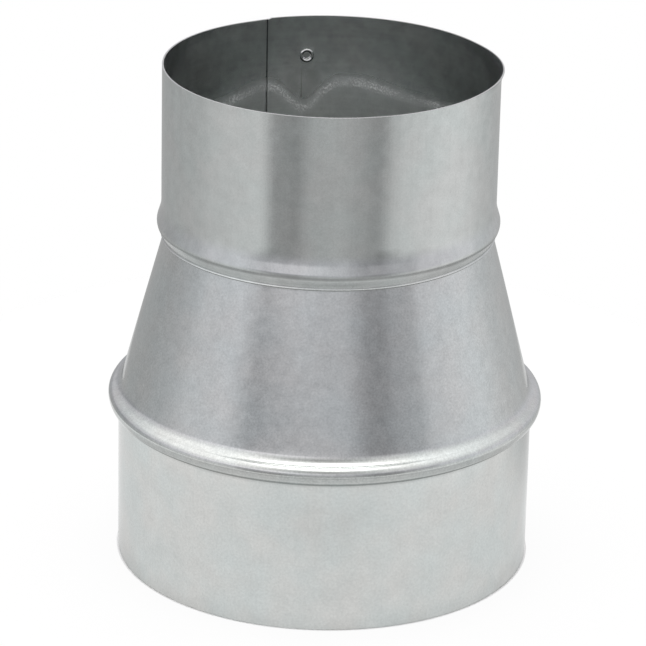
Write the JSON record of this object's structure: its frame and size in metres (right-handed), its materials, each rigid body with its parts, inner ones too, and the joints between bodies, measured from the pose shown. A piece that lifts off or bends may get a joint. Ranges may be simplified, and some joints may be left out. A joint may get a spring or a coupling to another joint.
{
  "type": "duct reducer",
  "caption": "Round galvanised duct reducer: a wide plain collar, a conical taper and a narrow plain collar joined by folded beads, for stepping a duct down in size.",
  "frame": {"origin": "on the duct's axis, in the plane of the large collar's rim", "axes": "+Z along the duct's axis towards the small collar, -Y towards the front, with the laps at the back"},
  "size_m": [0.1342, 0.1342, 0.1571],
  "materials": {
    "galvanised_sheet": "bright galvanised, fine grain",
    "galvanised_taper": "bright galvanised, finely grained, faintly blue",
    "rivet_steel": "zinc plated"
  },
  "bodies": {
    "root": {"large_collar": "galvanised_sheet", "taper": "galvanised_taper", "small_collar": "galvanised_sheet", "seam_rivets": "rivet_steel"}
  },
  "joints": []
}
